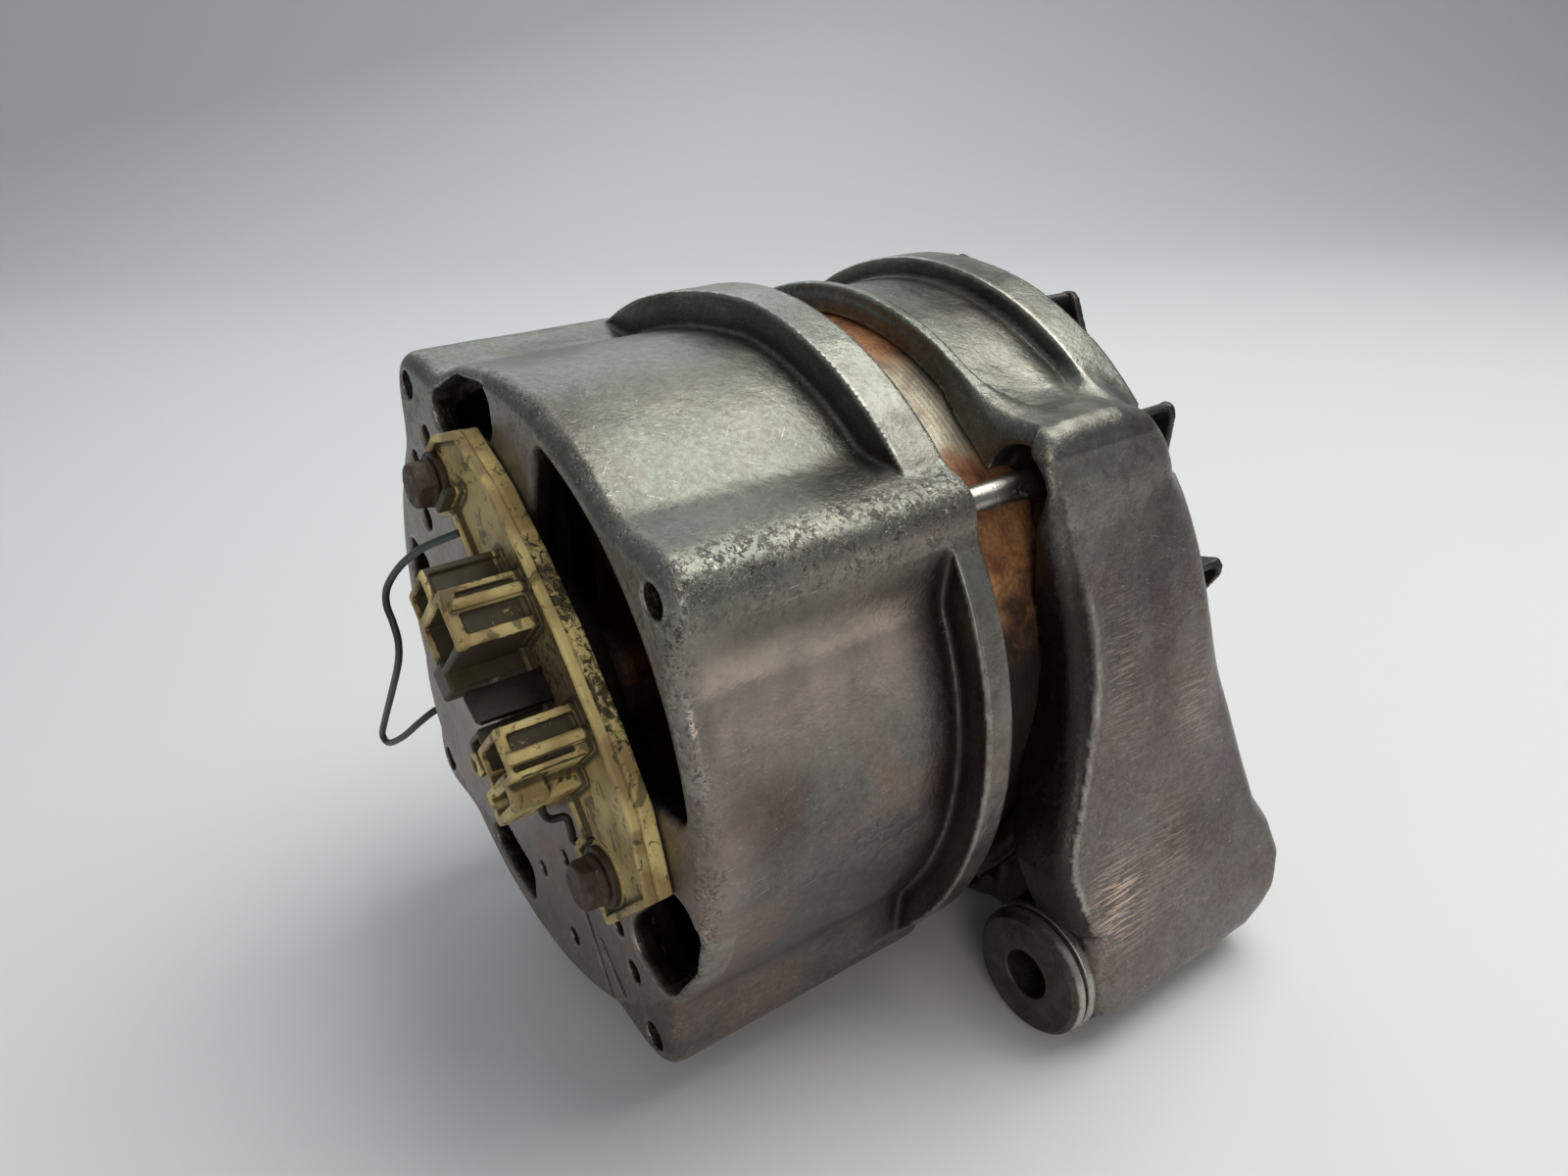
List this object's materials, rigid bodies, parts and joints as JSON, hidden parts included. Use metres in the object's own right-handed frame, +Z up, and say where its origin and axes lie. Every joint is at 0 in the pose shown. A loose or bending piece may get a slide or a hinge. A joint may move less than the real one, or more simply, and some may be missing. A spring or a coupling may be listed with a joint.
{
  "type": "car alternator",
  "caption": "Claw-pole car alternator with an aluminium body in two halves, a rear plug block, a cooling fan, a V-belt pulley and a long pivot arm with a steel bush.",
  "frame": {"origin": "centre of the bounding box's underside, on the surface the part lies on", "axes": "+X along the rotor shaft towards the pulley, +Z up as the part lies on its housing rims and its pivot boss"},
  "size_m": [0.1746, 0.152, 0.1388],
  "materials": {
    "bearing_retainer": "steel",
    "blade_terminal_1": "steel",
    "blade_terminal_2": "steel",
    "blade_terminal_3": "steel",
    "brush_1": "pressed carbon, stated as matte plastic",
    "brush_2": "pressed carbon, stated as matte plastic",
    "brush_holder": "moulded",
    "diode_1": "steel",
    "diode_2": "steel",
    "diode_3": "steel",
    "drive_end_housing": "cast, worn",
    "fan": "black",
    "field_coil": null,
    "front_bearing_inner_race": "steel",
    "front_bearing_outer_race": "steel",
    "front_claw_pole": "forged",
    "pivot_bush": "steel",
    "pulley": "steel",
    "pulley_key": "steel",
    "pulley_nut": "steel",
    "pulley_washer": "steel",
    "rear_bearing_inner_race": "steel",
    "rear_bearing_outer_race": "steel",
    "rear_claw_pole": "forged",
    "rear_housing": "cast, worn",
    "rectifier_plate": "plain",
    "retainer_screw_1": "steel",
    "retainer_screw_2": "steel",
    "retainer_screw_3": "steel",
    "rotor_shaft": "steel",
    "shaft_spacer": "steel",
    "slip_ring_1": null,
    "slip_ring_2": null,
    "slip_ring_hub": "moulded",
    "spring_clip": "steel",
    "stator_core": "rusted laminations",
    "stator_winding": null,
    "suppression_lead": "insulated wire",
    "terminal_block": "cream plastic, dirty",
    "terminal_screw_1": "rusty",
    "terminal_screw_2": "rusty",
    "terminal_washer_1": "rusty",
    "terminal_washer_2": "rusty",
    "through_bolt_1": "steel",
    "through_bolt_2": "steel",
    "through_bolt_3": "steel",
    "through_bolt_4": "steel"
  },
  "bodies": {
    "housing": {"bearing_retainer": "bearing_retainer", "blade_terminal_1": "blade_terminal_1", "blade_terminal_2": "blade_terminal_2", "blade_terminal_3": "blade_terminal_3", "brush_holder": "brush_holder", "diode_1": "diode_1", "diode_2": "diode_2", "diode_3": "diode_3", "drive_end_housing": "drive_end_housing", "front_bearing_outer_race": "front_bearing_outer_race", "rear_bearing_outer_race": "rear_bearing_outer_race", "rear_housing": "rear_housing", "rectifier_plate": "rectifier_plate", "retainer_screw_1": "retainer_screw_1", "retainer_screw_2": "retainer_screw_2", "retainer_screw_3": "retainer_screw_3", "spring_clip": "spring_clip", "stator_core": "stator_core", "stator_winding": "stator_winding", "suppression_lead": "suppression_lead", "terminal_block": "terminal_block", "terminal_screw_1": "terminal_screw_1", "terminal_screw_2": "terminal_screw_2", "terminal_washer_1": "terminal_washer_1", "terminal_washer_2": "terminal_washer_2", "through_bolt_1": "through_bolt_1", "through_bolt_2": "through_bolt_2", "through_bolt_3": "through_bolt_3", "through_bolt_4": "through_bolt_4"},
    "rotor": {"rotor_shaft": "rotor_shaft", "rear_claw_pole": "rear_claw_pole", "front_claw_pole": "front_claw_pole", "field_coil": "field_coil", "slip_ring_hub": "slip_ring_hub", "slip_ring_1": "slip_ring_1", "slip_ring_2": "slip_ring_2", "rear_bearing_inner_race": "rear_bearing_inner_race", "front_bearing_inner_race": "front_bearing_inner_race", "shaft_spacer": "shaft_spacer", "fan": "fan", "pulley": "pulley", "pulley_key": "pulley_key", "pulley_washer": "pulley_washer", "pulley_nut": "pulley_nut"},
    "bush": {"pivot_bush": "pivot_bush"},
    "brush_a": {"brush_1": "brush_1"},
    "brush_b": {"brush_2": "brush_2"}
  },
  "joints": [
    {"name": "rotor_spin", "type": "hinge", "parent": "housing", "child": "rotor", "pos_m": [-0.0031, 0.00658, 0.0694], "axis": [1, 0, 0], "continuous": true},
    {"name": "bush_slide", "type": "slide", "parent": "housing", "child": "bush", "axis": [-1, 0, 0], "range_m": [0, 0.004]},
    {"name": "brush_a_slide", "type": "slide", "parent": "housing", "child": "brush_a", "axis": [0, 0.5, -0.866], "range_m": [0, 0.003], "stiffness_N_per_m": 300, "springref_m": -0.004},
    {"name": "brush_b_slide", "type": "slide", "parent": "housing", "child": "brush_b", "axis": [0, 0.5, -0.866], "range_m": [0, 0.003], "stiffness_N_per_m": 300, "springref_m": -0.004}
  ]
}
